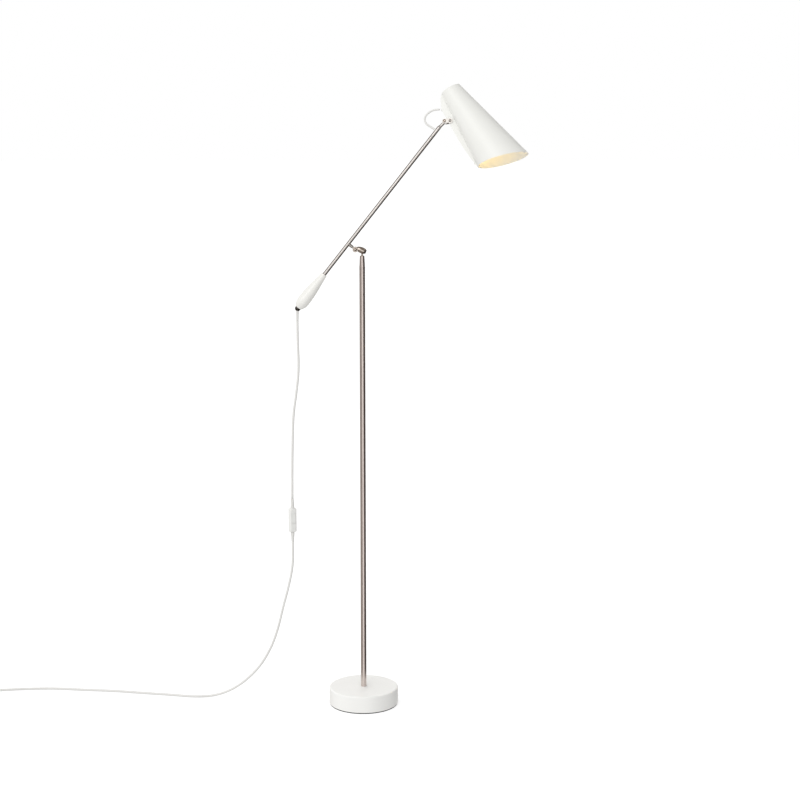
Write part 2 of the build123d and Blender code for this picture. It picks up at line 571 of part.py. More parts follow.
# ---------------------------------------------------------------- mains cord, from the switch to the coil
floor_z = MAINS_D / 2
coil_z = COIL_BOTTOM_Z + MAINS_D / 2
coil_near_y = COIL_CENTRE.Y - COIL_OUTER_TURN_R
floor_route = [
    (SWITCH_CENTRE.X, 0, taper_low_z),
    (-151.8, 0, 340.0),
    (-152.6, 0, 308.0),
    (-161.0, 0, 266.0),
    (-175.2, 0, 214.0),
    (-185.8, 1.0, 168.0),
    (-201.0, 3.0, 125.0),
    (-225.0, 9.0, 82.0),
    (-256.0, 16.5, 47.0),
    (-293.0, 26.0, 18.5),
    (-333.0, 34.0, floor_z),
    (-376.0, 29.0, floor_z),
    (-428.0, 42.0, floor_z),
    (-490.0, 53.0, floor_z),
    (-556.0, 67.0, floor_z),
    (-626.0, 74.0, floor_z),
    (-696.0, 84.0, floor_z),
    (-762.0, 80.0, floor_z),
    (-818.0, 69.4, coil_z),
    (COIL_CENTRE.X + 14.0, coil_near_y, coil_z),
]
save("mains_cord_floor", cord("mains_cord_floor", floor_route, MAINS_D))

# Four turns, two side by side and two on top of them, put away as one ring.
coil_height = 2 * MAINS_D
ring_out = COIL_OUTER_TURN_R + MAINS_D / 2
ring_in = COIL_INNER_TURN_R - MAINS_D / 2
coil = tube(ring_out, ring_in, (0, 0, 0), (0, 0, coil_height))
coil = fillet(coil.edges().filter_by(GeomType.CIRCLE), 2.0)
coil_place = Pos(COIL_CENTRE.X, COIL_CENTRE.Y, COIL_BOTTOM_Z)
save("mains_cord_coil", coil, coil_place)
coil_length = 4 * math.pi * (COIL_INNER_TURN_R + COIL_OUTER_TURN_R)
print(f"coil: {coil_length:.0f} mm of cord in four turns")

TIE_WIDTH = 8.0
TIE_THICK = 0.6
ring_mid = (ring_out + ring_in) / 2
tie_inner = Box(ring_out - ring_in, TIE_WIDTH, coil_height)
tie = Box(ring_out - ring_in + 2 * TIE_THICK, TIE_WIDTH, coil_height + 2 * TIE_THICK) - tie_inner
tie = coil_place * Rot(0, 0, 150) * Pos(ring_mid + 0.35, 0, coil_height / 2) * tie
save("coil_tie", tie - coil_place * coil)

# ---------------------------------------------------------------- plug
PLUG_TAPER = 30.0
plug_x = COIL_CENTRE.X + COIL_OUTER_TURN_R
plug_z = PLUG_BODY[2] / 2
tail_route = [
    (plug_x, COIL_CENTRE.Y - 12.0, coil_z + MAINS_D + 0.2),
    (plug_x + 0.5, 75.0, coil_z + MAINS_D + 0.9),
    (plug_x + 0.5, 60.0, coil_z + MAINS_D + 0.1),
    (plug_x, 46.0, plug_z),
]
save("mains_cord_tail", cord("mains_cord_tail", tail_route, MAINS_D))
taper_start = Plane(origin=(plug_x, 46.0, plug_z), z_dir=(0, -1, 0))
relief = loft([taper_start * Circle(MAINS_D / 2 + 0.4), taper_start.offset(PLUG_TAPER) * Circle(5.0)])
save("plug_strain_relief", relief)
plug_w, plug_l, plug_t = PLUG_BODY
body_start_y = 46.0 - PLUG_TAPER
plug_body = Pos(plug_x, body_start_y - plug_l / 2, plug_z) * Box(plug_w, plug_l, plug_t)
plug_body = fillet(plug_body.edges().filter_by(Axis.Y), 5.0)
plug_body = chamfer(plug_body.edges().group_by(Axis.Y)[-1], 1.5)
pins = []
for side in (-1, 1):
    pin_x = plug_x + side * PLUG_PIN_SPACING / 2
    pin_root = body_start_y - plug_l
    pin = rod(PLUG_PIN_D / 2, (pin_x, pin_root + 6, plug_z), (pin_x, pin_root - PLUG_PIN_LENGTH, plug_z))
    pins.append(fillet(pin.edges().group_by(Axis.Y)[0], 1.2))
for pin in pins:
    plug_body -= pin
save("plug_body", plug_body)
save("plug_pins", Compound(children=pins))

# ---------------------------------------------------------------- switch on the hanging cord
half_l = switch_l / 2
case = Box(switch_w, switch_d, switch_l)
case = fillet(case.edges().filter_by(Axis.Z), SWITCH_SIDE_R)
case = fillet(case.edges().group_by(Axis.Z)[0] + case.edges().group_by(Axis.Z)[-1], SWITCH_END_R)
hollow = Box(switch_w - 2 * SWITCH_WALL, switch_d - 2 * SWITCH_WALL, switch_l - 4 * SWITCH_WALL)
case -= hollow
rocker_w, rocker_l = ROCKER_SIZE
rocker_gap = 0.35
window = Pos(0, -switch_d / 2, ROCKER_Z) * Box(rocker_w + 2 * rocker_gap, 6, rocker_l + 2 * rocker_gap)
case -= window
front_half = case & Pos(0, -20, 0) * Box(60, 40, 90)
back_half = case & Pos(0, 20, 0) * Box(60, 40, 90)
# One screw from the back, below the rocker, goes through a post in each half.
CASE_SCREW_Z = -20.0
CASE_POST_R = 1.9
CASE_SCREW_R = 1.0
CASE_SCREW_HEAD_R = 1.6
case_back_y = switch_d / 2
front_half += rod(CASE_POST_R, (0, SWITCH_WALL - case_back_y, CASE_SCREW_Z), (0, 0, CASE_SCREW_Z))
back_half += rod(CASE_POST_R, (0, 0, CASE_SCREW_Z), (0, case_back_y - SWITCH_WALL, CASE_SCREW_Z))
case_screw = rod(CASE_SCREW_R, (0, -2.5, CASE_SCREW_Z), (0, case_back_y - 1.0, CASE_SCREW_Z))
case_screw += rod(CASE_SCREW_HEAD_R, (0, case_back_y - 1.0, CASE_SCREW_Z), (0, case_back_y - 0.2, CASE_SCREW_Z))
front_half -= case_screw
back_half -= case_screw
save("switch_front_shell", front_half, switch_place)
save("switch_back_shell", back_half, switch_place)
save("switch_screws", case_screw, switch_place)

relief_solids = []
for side in (-1, 1):
    start = Plane(origin=(0, 0, side * half_l), z_dir=(0, 0, side))
    relief_solids.append(loft([start * Circle(3.9), start.offset(SWITCH_TAPER) * Circle(MAINS_D / 2 + 0.2)]))
save("switch_strain_reliefs", switch_place * Compound(children=relief_solids))
contacts = [Pos(x, 3.2, -2.0) * Box(2.4, 0.8, 22.0) for x in (-3.2, 3.2)]
save("switch_contacts", switch_place * Compound(children=contacts))

ROCKER_PIVOT_Y = -3.85
ROCKER_DEPTH = 4.6
rocker = Pos(0, ROCKER_PIVOT_Y - 0.9, ROCKER_Z) * Box(rocker_w, ROCKER_DEPTH, rocker_l)
crown = Pos(0, ROCKER_PIVOT_Y - 27.5, ROCKER_Z) * rod(24.0, (-10, 0, 0), (10, 0, 0))
rocker -= crown
rocker -= Pos(0, ROCKER_PIVOT_Y + 3.2, ROCKER_Z) * Box(rocker_w + 1, 4.0, rocker_l + 1)
rocker = fillet(rocker.edges().filter_by(Axis.X), 0.35)
rocker_tilt = Pos(0, ROCKER_PIVOT_Y, ROCKER_Z) * Rot(ROCKER_REST_TILT, 0, 0) * Pos(0, -ROCKER_PIVOT_Y, -ROCKER_Z)
save("switch_rocker", rocker_tilt * rocker, switch_place)

# ---------------------------------------------------------------- joint axes, for the draft record
tilt_hinge = (head_place * hinge_spot).position
tilt_axis = (head_place * Pos(0, 1, 0)).position - head_place.position
arm_line = (arm_axis * Pos(1, 0, 0)).position - arm_axis.position
rocker_pivot = (switch_place * Pos(0, ROCKER_PIVOT_Y, ROCKER_Z)).position
rocker_axis = (switch_place * Pos(1, 0, 0)).position - switch_place.position
for name, value in (("tilt hinge", tilt_hinge), ("tilt axis", tilt_axis), ("arm axis point", arm_axis.position),
                    ("arm direction", arm_line), ("rocker pivot", rocker_pivot), ("rocker axis", rocker_axis),
                    ("cord exit", Vector(exit_x, 0, exit_z)), ("sleeve end", sleeve_end),
                    ("loop start", (head_place * Pos(*loop_route[0])).position),
                    ("loop end", (head_place * Pos(*loop_end)).position)):
    print(name, [round(v, 4) for v in value])
print("hinge in the shade's frame", round(HINGE_T, 2), round(HINGE_E, 2))
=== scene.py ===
import json
import math

import bmesh
import bpy
from mathutils import Matrix, Vector


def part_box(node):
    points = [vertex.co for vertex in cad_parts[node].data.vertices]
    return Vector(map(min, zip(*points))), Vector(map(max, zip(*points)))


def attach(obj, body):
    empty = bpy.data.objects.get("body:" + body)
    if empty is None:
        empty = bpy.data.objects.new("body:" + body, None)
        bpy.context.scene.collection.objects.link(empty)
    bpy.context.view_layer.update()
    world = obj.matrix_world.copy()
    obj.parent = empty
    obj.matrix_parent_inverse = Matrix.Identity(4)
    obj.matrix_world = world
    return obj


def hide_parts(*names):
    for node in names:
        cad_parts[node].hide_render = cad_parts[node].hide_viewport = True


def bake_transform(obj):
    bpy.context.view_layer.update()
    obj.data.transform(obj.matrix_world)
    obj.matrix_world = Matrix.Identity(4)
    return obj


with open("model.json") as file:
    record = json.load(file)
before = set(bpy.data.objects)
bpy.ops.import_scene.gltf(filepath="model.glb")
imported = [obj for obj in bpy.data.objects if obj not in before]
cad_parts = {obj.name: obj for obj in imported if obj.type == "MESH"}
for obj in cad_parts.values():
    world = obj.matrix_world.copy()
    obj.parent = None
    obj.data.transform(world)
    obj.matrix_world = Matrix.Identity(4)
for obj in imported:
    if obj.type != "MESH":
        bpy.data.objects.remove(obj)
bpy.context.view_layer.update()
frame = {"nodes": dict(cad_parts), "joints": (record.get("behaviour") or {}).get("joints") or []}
nodes = frame["nodes"]
joints = {joint["name"]: joint for joint in frame["joints"]}
scene = bpy.context.scene
MM = 0.001


# ------------------------------------------------------------------ camera
CAMERA_PLACE = (0.0793, -3.664, 1.319)
CAMERA_PITCH = math.radians(80)
SENSOR_MM = 36.0
LENS_MM = 78.75


def set_camera():
    """Eye level with the shade, well back, looking a little down: a long lens keeps the pole straight."""
    data = bpy.data.cameras.new("studio_camera")
    data.sensor_width = SENSOR_MM
    data.lens = LENS_MM
    camera = bpy.data.objects.new("studio_camera", data)
    camera.location = CAMERA_PLACE
    camera.rotation_euler = (CAMERA_PITCH, 0, 0)
    scene.collection.objects.link(camera)
    scene.camera = camera


set_camera()

# ------------------------------------------------------------------ cord routes, in metres
# The loop's route is in millimetres along, beside and above the arm.
MAINS_D = 5 * MM
LOOP_D = 4 * MM
COIL_CENTRE = Vector((-0.868, 0.100, 0))
COIL_OUTER_R = 0.030
COIL_INNER_R = 0.025
COIL_LOW_Z = 0.0031
COIL_DEGREES = 1350
COIL_NARROWS = (300, 360)
COIL_CLIMBS = (620, 680)
COIL_WIDENS = (930, 980)
TURN_POINTS = 16

DROP_ROUTE = [
    (-0.1371588, 0, 0.8430),
    (-0.1371588, 0, 0.800),
    (-0.1348, 0, 0.742),
    (-0.1402, 0, 0.692),
    (-0.1482, 0, 0.640),
    (-0.1502, 0, 0.576),
    (-0.1516, 0, 0.512),
    (-0.1519, 0, 0.457),
]
FLOOR_ROUTE = [
    (-0.1519, 0, 0.365),
    (-0.1518, 0, 0.340),
    (-0.1526, 0, 0.308),
    (-0.1610, 0, 0.266),
    (-0.1752, 0, 0.214),
    (-0.1858, 0.0010, 0.168),
    (-0.2010, 0.0030, 0.125),
    (-0.2250, 0.0090, 0.082),
    (-0.2560, 0.0165, 0.047),
    (-0.2930, 0.0260, 0.0185),
    (-0.3330, 0.0340, 0.0025),
    (-0.3760, 0.0290, 0.0025),
    (-0.4280, 0.0420, 0.0025),
    (-0.4900, 0.0530, 0.0025),
    (-0.5560, 0.0670, 0.0025),
    (-0.6260, 0.0740, 0.0025),
    (-0.6960, 0.0840, 0.0025),
    (-0.7620, 0.0800, 0.0025),
    (-0.8180, 0.0694, 0.0031),
]
TAIL_ROUTE = [
    (-0.8380, 0.0880, 0.0083),
    (-0.8375, 0.0750, 0.0090),
    (-0.8375, 0.0600, 0.0082),
    (-0.8380, 0.0460, 0.0068),
]
LOOP_ROUTE = [
    (297.2, 0, 5.2),
    (296.4, 0, 14.6),
    (294.6, 0, 27.4),
    (302.2, 0, 38.7),
    (316.5, 0, 38.2),
    (329.3, 0, 31.8),
    (335.6, 0, 22.9),
]


def eased(turned, start, end):
    """0 before start, 1 after end, and a smooth step between them."""
    share = min(max((turned - start) / (end - start), 0), 1)
    return share * share * (3 - 2 * share)


def coil_route():
    """Three and three quarter turns: outer and inner on the floor, then inner and outer on top of them."""
    route = []
    step = 360 / TURN_POINTS
    swell = 1 / math.cos(math.radians(step / 2))
    turned = step / 2
    while turned < COIL_DEGREES:
        inward = eased(turned, *COIL_NARROWS) - eased(turned, *COIL_WIDENS)
        radius = (COIL_OUTER_R - (COIL_OUTER_R - COIL_INNER_R) * inward) * swell
        angle = math.radians(-90 - turned)
        height = COIL_LOW_Z + MAINS_D * eased(turned, *COIL_CLIMBS)
        route.append((COIL_CENTRE.x + radius * math.cos(angle), COIL_CENTRE.y + radius * math.sin(angle),
                      height))
        turned += step
    return route


def smooth_line(name, route):
    """The points of a smooth NURBS line that has the route's points as its control points."""
    curve = bpy.data.curves.new(name + "_line", "CURVE")
    curve.dimensions = "3D"
    spline = curve.splines.new("NURBS")
    spline.points.add(len(route) - 1)
    for point, place in zip(spline.points, route):
        point.co = (*place, 1)
    spline.order_u = 3
    spline.use_endpoint_u = True
    spline.resolution_u = 10
    line = bpy.data.objects.new(name + "_line", curve)
    mesh = bpy.data.meshes.new_from_object(line)
    points = [vertex.co.copy() for vertex in mesh.vertices]
    bpy.data.objects.remove(line)
    return points


def round_tube(name, points, diameter, sides=20):
    """A closed round tube along the points. Its rings turn as little as they can from one to the next."""
    shape = bmesh.new()
    rings = []
    across = None
    for i, point in enumerate(points):
        ahead = (points[min(i + 1, len(points) - 1)] - points[max(i - 1, 0)]).normalized()
        if across is None:
            across = ahead.orthogonal().normalized()
        across = (across - ahead * across.dot(ahead)).normalized()
        side = ahead.cross(across)
        ring = []
        for k in range(sides):
            turn = 2 * math.pi * k / sides
            offset = across * math.cos(turn) + side * math.sin(turn)
            ring.append(shape.verts.new(point + offset * diameter / 2))
        rings.append(ring)
    for ring, following in zip(rings, rings[1:]):
        for k in range(sides):
            after = (k + 1) % sides
            shape.faces.new((ring[k], ring[after], following[after], following[k]))
    shape.faces.new(list(reversed(rings[0])))
    shape.faces.new(rings[-1])
    return finished_mesh(name, shape)


def finished_mesh(name, shape, smooth=True):
    """Turn a bmesh into an object at the origin, with its faces pointing outwards."""
    bmesh.ops.recalc_face_normals(shape, faces=shape.faces)
    mesh = bpy.data.meshes.new(name)
    shape.to_mesh(mesh)
    shape.free()
    if smooth:
        mesh.polygons.foreach_set("use_smooth", [True] * len(mesh.polygons))
    piece = bpy.data.objects.new(name, mesh)
    scene.collection.objects.link(piece)
    return piece


# ------------------------------------------------------------------ frames of the arm's groups
def turned_frame(origin, ahead, side):
    """A frame with its x ahead and its y to the side, as a matrix."""
    ahead, side = Vector(ahead).normalized(), Vector(side).normalized()
    up = ahead.cross(side)
    matrix = Matrix((ahead, side, up)).transposed().to_4x4()
    matrix.translation = origin
    return matrix


ARM_OFFSET = 18.8 * MM
SHADE_ALONG = 381.2 * MM
SHADE_ABOVE = 31.1 * MM
ARM_HINGE = Vector(joints["arm_tilt"]["pos_m"])
ARM_LINE = Vector(joints["shade_swivel"]["axis"]).normalized()
ARM_UP = Vector((-ARM_LINE.z, 0, ARM_LINE.x))
ARM_AXIS_START = ARM_HINGE + ARM_UP * ARM_OFFSET
TILT_AXIS = Vector(joints["shade_tilt"]["axis"]).normalized()
HEAD_FRAME = turned_frame(ARM_AXIS_START, ARM_LINE, TILT_AXIS)
SHADE_SLOPE = math.radians(105)
SHADE_ORIGIN = HEAD_FRAME @ Vector((SHADE_ALONG, 0, SHADE_ABOVE))
SHADE_AXIS = HEAD_FRAME.to_3x3() @ Vector((math.cos(SHADE_SLOPE), 0, -math.sin(SHADE_SLOPE)))


# ------------------------------------------------------------------ cords
def hang_cords():
    """The mains cord in two stretches, either side of its switch, and the loop of flex at the shade."""
    drop_line = smooth_line("hanging_cord", DROP_ROUTE)
    drop = round_tube("hanging_cord", drop_line, MAINS_D)
    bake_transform(drop)
    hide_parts("mains_cord_drop")

    floor_line = smooth_line("floor_cord", FLOOR_ROUTE + coil_route() + TAIL_ROUTE)
    floor = round_tube("floor_cord", floor_line, MAINS_D)
    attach(floor, "swivel_head")
    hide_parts("mains_cord_floor", "mains_cord_coil", "mains_cord_tail")

    loop_route = [HEAD_FRAME @ (Vector(point) * MM) for point in LOOP_ROUTE]
    loop_line = smooth_line("shade_flex", loop_route)
    loop = round_tube("shade_flex", loop_line, LOOP_D)
    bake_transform(loop)
    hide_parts("shade_lead_loop")
    return (drop, drop_line), (floor, floor_line), (loop, loop_line)


cords = hang_cords()


# ------------------------------------------------------------------ how materials are made
def colour(code):
    """An sRGB hex colour as the linear colour that the shaders take."""
    parts = [int(code[i:i + 2], 16) / 255 for i in (0, 2, 4)]
    return tuple(p / 12.92 if p <= 0.04045 else ((p + 0.055) / 1.055) ** 2.4 for p in parts) + (1.0,)


def add(tree, kind, inputs=None, **settings):
    """Add a node. Each input, by name or number, takes a value or a link from a socket."""
    made = tree.nodes.new(kind)
    for key, value in settings.items():
        setattr(made, key, value)
    for key, value in (inputs or {}).items():
        if isinstance(value, bpy.types.NodeSocket):
            tree.links.new(value, made.inputs[key])
        else:
            made.inputs[key].default_value = value
    return made


def new_material(name):
    """An empty material and its tree."""
    material = bpy.data.materials.new(name)
    material.use_nodes = True
    material.node_tree.nodes.clear()
    return material, material.node_tree


def per_metre(size_mm):
    """A noise texture's scale for features of a size in millimetres."""
    return 1000.0 / size_mm


def paint(piece, material):
    """Give a piece its material, or a CAD node's object a better one."""
    if not piece.material_slots:
        piece.data.materials.append(material)
    for slot in piece.material_slots:
        slot.link = "OBJECT"
        slot.material = material


# ------------------------------------------------------------------ materials
def powder_coated_steel():
    """White satin powder coat on the spun base: a fine even orange peel, 1.5 mm from crest to crest."""
    material, tree = new_material("powder_coated_steel")
    place = add(tree, "ShaderNodeTexCoord").outputs["Object"]
    peel = add(tree, "ShaderNodeTexNoise", {"Vector": place, "Scale": per_metre(1.5), "Detail": 2.0})
    clouds = add(tree, "ShaderNodeTexNoise", {"Vector": place, "Scale": per_metre(60), "Detail": 3.0})
    tone = add(tree, "ShaderNodeMix", {0: clouds.outputs["Fac"], 6: colour("F0EFEC"), 7: colour("F5F5F2")},
               data_type="RGBA")
    sheen = add(tree, "ShaderNodeMapRange", {"Value": clouds.outputs["Fac"], "To Min": 0.34, "To Max": 0.46})
    bump = add(tree, "ShaderNodeBump", {"Height": peel.outputs["Fac"], "Strength": 0.12,
                                        "Distance": 0.08 * MM})
    shader = add(tree, "ShaderNodeBsdfPrincipled", {"Base Color": tone.outputs[2],
                                                    "Roughness": sheen.outputs[0], "IOR": 1.5,
                                                    "Normal": bump.outputs[0]})
    add(tree, "ShaderNodeOutputMaterial", {"Surface": shader.outputs[0]})
    return material


def stove_enamel(name, deep, pale, low_rough, high_rough):
    """Sprayed and baked white enamel: glossy, with long soft waves 6 mm apart and hardly any grain."""
    material, tree = new_material(name)
    place = add(tree, "ShaderNodeTexCoord").outputs["Object"]
    waves = add(tree, "ShaderNodeTexNoise", {"Vector": place, "Scale": per_metre(6), "Detail": 1.0})
    clouds = add(tree, "ShaderNodeTexNoise", {"Vector": place, "Scale": per_metre(45), "Detail": 3.0})
    tone = add(tree, "ShaderNodeMix", {0: clouds.outputs["Fac"], 6: colour(deep), 7: colour(pale)},
               data_type="RGBA")
    sheen = add(tree, "ShaderNodeMapRange", {"Value": clouds.outputs["Fac"], "To Min": low_rough,
                                             "To Max": high_rough})
    bump = add(tree, "ShaderNodeBump", {"Height": waves.outputs["Fac"], "Strength": 0.05,
                                        "Distance": 0.05 * MM})
    shader = add(tree, "ShaderNodeBsdfPrincipled", {"Base Color": tone.outputs[2],
                                                    "Roughness": sheen.outputs[0], "IOR": 1.52,
                                                    "Normal": bump.outputs[0]})
    add(tree, "ShaderNodeOutputMaterial", {"Surface": shader.outputs[0]})
    return material


def brushed_nickel(name, lean, deep, pale, rough_low, rough_high):
    """Nickel-plated tube, brushed along its length: long fine lines that break the light's edge a little.
    The lines are drawn 1.2 mm wide, coarser than real ones, so that they show."""
    material, tree = new_material(name)
    place = add(tree, "ShaderNodeTexCoord").outputs["Object"]
    along = add(tree, "ShaderNodeMapping", {"Vector": place, "Rotation": (0, lean, 0)})
    stretched = add(tree, "ShaderNodeMapping", {"Vector": along.outputs[0], "Scale": (1, 1, 0.02)})
    lines = add(tree, "ShaderNodeTexNoise", {"Vector": stretched.outputs[0], "Scale": per_metre(1.2),
                                             "Detail": 3.0})
    patches = add(tree, "ShaderNodeTexNoise", {"Vector": place, "Scale": per_metre(35), "Detail": 2.0})
    tone = add(tree, "ShaderNodeMix", {0: lines.outputs["Fac"], 6: colour(deep), 7: colour(pale)},
               data_type="RGBA")
    mixed = add(tree, "ShaderNodeMath", {0: lines.outputs["Fac"], 1: patches.outputs["Fac"]},
                operation="MULTIPLY")
    rough = add(tree, "ShaderNodeMapRange", {"Value": mixed.outputs[0], "From Max": 0.5, "To Min": rough_low,
                                             "To Max": rough_high})
    bump = add(tree, "ShaderNodeBump", {"Height": lines.outputs["Fac"], "Strength": 0.10,
                                        "Distance": 0.03 * MM})
    shader = add(tree, "ShaderNodeBsdfPrincipled", {"Base Color": tone.outputs[2], "Metallic": 1.0,
                                                    "Roughness": rough.outputs[0], "Normal": bump.outputs[0]})
    add(tree, "ShaderNodeOutputMaterial", {"Surface": shader.outputs[0]})
    return material


def metal(name, deep, pale, rough_low, rough_high, grain_mm, bump_strength):
    """Plated, cast or turned metal: a mottled tone and roughness, and grain of the given size."""
    material, tree = new_material(name)
    place = add(tree, "ShaderNodeTexCoord").outputs["Object"]
    grain = add(tree, "ShaderNodeTexNoise", {"Vector": place, "Scale": per_metre(grain_mm), "Detail": 4.0})
    patches = add(tree, "ShaderNodeTexNoise", {"Vector": place, "Scale": per_metre(grain_mm * 8),
                                               "Detail": 2.0})
    tone = add(tree, "ShaderNodeMix", {0: patches.outputs["Fac"], 6: colour(deep), 7: colour(pale)},
               data_type="RGBA")
    rough = add(tree, "ShaderNodeMapRange", {"Value": patches.outputs["Fac"], "To Min": rough_low,
                                             "To Max": rough_high})
    bump = add(tree, "ShaderNodeBump", {"Height": grain.outputs["Fac"], "Strength": bump_strength,
                                        "Distance": 0.05 * MM})
    shader = add(tree, "ShaderNodeBsdfPrincipled", {"Base Color": tone.outputs[2], "Metallic": 1.0,
                                                    "Roughness": rough.outputs[0], "Normal": bump.outputs[0]})
    add(tree, "ShaderNodeOutputMaterial", {"Surface": shader.outputs[0]})
    return material


def plastic(name, deep, pale, rough_low, rough_high, grain_mm, bump_strength, ior=1.5):
    """Moulded or extruded plastic or rubber: faint spark-eroded grain under an even colour."""
    material, tree = new_material(name)
    place = add(tree, "ShaderNodeTexCoord").outputs["Object"]
    grain = add(tree, "ShaderNodeTexNoise", {"Vector": place, "Scale": per_metre(grain_mm), "Detail": 2.0})
    clouds = add(tree, "ShaderNodeTexNoise", {"Vector": place, "Scale": per_metre(20), "Detail": 2.0})
    tone = add(tree, "ShaderNodeMix", {0: clouds.outputs["Fac"], 6: colour(deep), 7: colour(pale)},
               data_type="RGBA")
    rough = add(tree, "ShaderNodeMapRange", {"Value": grain.outputs["Fac"], "To Min": rough_low,
                                             "To Max": rough_high})
    bump = add(tree, "ShaderNodeBump", {"Height": grain.outputs["Fac"], "Strength": bump_strength,
                                        "Distance": 0.05 * MM})
    shader = add(tree, "ShaderNodeBsdfPrincipled", {"Base Color": tone.outputs[2],
                                                    "Roughness": rough.outputs[0], "IOR": ior,
                                                    "Normal": bump.outputs[0]})
    add(tree, "ShaderNodeOutputMaterial", {"Surface": shader.outputs[0]})
    return material


def opal_bulb_glass():
    """Opal glass of a lit bulb: warm white light that is nearly even, with soft clouds 30 mm across."""
    material, tree = new_material("opal_bulb_glass")
    place = add(tree, "ShaderNodeTexCoord").outputs["Object"]
    clouds = add(tree, "ShaderNodeTexNoise", {"Vector": place, "Scale": per_metre(30), "Detail": 1.0})
    glow = add(tree, "ShaderNodeMapRange", {"Value": clouds.outputs["Fac"], "To Min": 4.2, "To Max": 5.0})
    shader = add(tree, "ShaderNodeBsdfPrincipled", {"Base Color": colour("FFF4E0"), "Roughness": 0.25,
                                                    "IOR": 1.5, "Emission Color": colour("FFD980"),
                                                    "Emission Strength": glow.outputs[0]})
    add(tree, "ShaderNodeOutputMaterial", {"Surface": shader.outputs[0]})
    return material


ARM_LEAN = -math.atan2(ARM_LINE.x, ARM_LINE.z)
finishes = {
    "base_enamel": powder_coated_steel(),
    "shade_enamel": stove_enamel("stove_enamelled_aluminium", "E8E8E3", "EDEDE9", 0.34, 0.42),
    "weight_enamel": stove_enamel("enamelled_zinc_casting", "E8E7E2", "EFEEEA", 0.18, 0.26),
    "pole_metal": brushed_nickel("brushed_nickel_pole", 0, "CBBFBA", "E0D6D1", 0.26, 0.36),
    "arm_metal": brushed_nickel("brushed_nickel_arm", ARM_LEAN, "A7A39F", "BFBBB8", 0.16, 0.22),
    "knuckle_metal": metal("polished_nickel_plate", "B3A89E", "CBC1B8", 0.14, 0.24, 0.8, 0.05),
    "cap_metal": metal("blackened_steel", "4A4745", "5C5856", 0.22, 0.32, 0.6, 0.08),
    "bracket_metal": metal("satin_nickel_plate", "A9A5A1", "BBB8B4", 0.30, 0.40, 0.5, 0.10),
    "zinc_metal": metal("zinc_plated_steel", "8F9090", "A9AAA8", 0.30, 0.45, 0.6, 0.15),
    "cast_metal": metal("black_cast_iron", "2B2B2B", "3A3938", 0.55, 0.70, 1.5, 0.60),
    "bush_metal": metal("sintered_bronze", "8A6A3F", "A5824F", 0.40, 0.55, 0.4, 0.30),
    "contact_metal": metal("nickel_plated_brass_pins", "C2BBAF", "D4CEC2", 0.18, 0.28, 0.5, 0.05),
    "foam": plastic("anti_slip_foam_rubber", "151515", "202020", 0.80, 0.95, 0.8, 0.80),
    "nylon": plastic("natural_nylon", "D6D3C6", "E0DDD1", 0.40, 0.50, 0.5, 0.10),
    "sheath": plastic("white_pvc_sheath", "DDDCD9", "E4E3E0", 0.38, 0.48, 0.8, 0.10),
    "moulded": plastic("moulded_white_abs", "E9E9E6", "EFEFEC", 0.28, 0.38, 0.4, 0.10),
    "thermoset": plastic("white_thermoset", "DEDBD2", "E6E3DA", 0.35, 0.48, 0.6, 0.12),
    "bulb": opal_bulb_glass(),
}
WORN_BY = {
    "base_enamel": ["base_cover"],
    "shade_enamel": ["shade_shell", "shade_spine", "spine_rivets"],
    "weight_enamel": ["counterweight"],
    "pole_metal": ["pole_tube", "pole_tip"],
    "arm_metal": ["arm_tube", "shade_knuckle", "arm_knuckle"],
    "knuckle_metal": ["pole_knuckle", "knuckle_screw", "knuckle_nut", "tilt_screw", "tilt_nut"],
    "cap_metal": ["counterweight_cap"],
    "bracket_metal": ["shade_bracket", "bracket_rivet"],
    "zinc_metal": ["base_plate", "base_plate_screws", "tie_washer", "tie_nut", "pole_foot_plug",
                   "swivel_clip", "knuckle_spring_washer", "counterweight_screw", "ferrule_screw",
                   "shade_spider", "holder_nipple", "switch_screws"],
    "cast_metal": ["base_weight"],
    "bush_metal": ["swivel_bush"],
    "contact_metal": ["switch_contacts", "plug_pins", "bulb_cap"],
    "foam": ["base_pad"],
    "nylon": ["knuckle_friction_washers", "tilt_friction_washers"],
    "sheath": ["mains_cord_drop", "mains_cord_floor", "mains_cord_coil", "mains_cord_tail", "shade_lead_loop",
               "arm_lead", "holder_lead", "cord_sleeve", "switch_strain_reliefs", "plug_strain_relief"],
    "moulded": ["switch_front_shell", "switch_back_shell", "switch_rocker", "plug_body", "coil_tie",
                "outlet_grommet", "spine_grommet"],
    "thermoset": ["holder_cup", "holder_skirt", "holder_core"],
    "bulb": ["bulb_glass"],
}
for finish, wearers in WORN_BY.items():
    for wearer in wearers:
        paint(nodes[wearer], finishes[finish])
for cord, line in cords:
    paint(cord, finishes["sheath"])


# ------------------------------------------------------------------ pieces that repeat, by Geometry Nodes
def repeating_tree(name, sizes):
    """An empty Geometry Nodes tree with named inputs for its sizes, and its group input's sockets."""
    tree = bpy.data.node_groups.new(name, "GeometryNodeTree")
    tree.interface.new_socket("Geometry", in_out="OUTPUT", socket_type="NodeSocketGeometry")
    for label, kind in sizes + (("Finish", "NodeSocketMaterial"),):
        tree.interface.new_socket(label, in_out="INPUT", socket_type=kind)
    return tree, add(tree, "NodeGroupInput").outputs


def finish_tree(tree, given, instances):
    """Close a tree: real geometry, smooth shading and its material."""
    real = add(tree, "GeometryNodeRealizeInstances", {0: instances})
    smooth = add(tree, "GeometryNodeSetShadeSmooth", {0: real.outputs[0]})
    finished = add(tree, "GeometryNodeSetMaterial", {0: smooth.outputs[0], "Material": given["Finish"]})
    add(tree, "NodeGroupOutput", {0: finished.outputs[0]})
    return tree


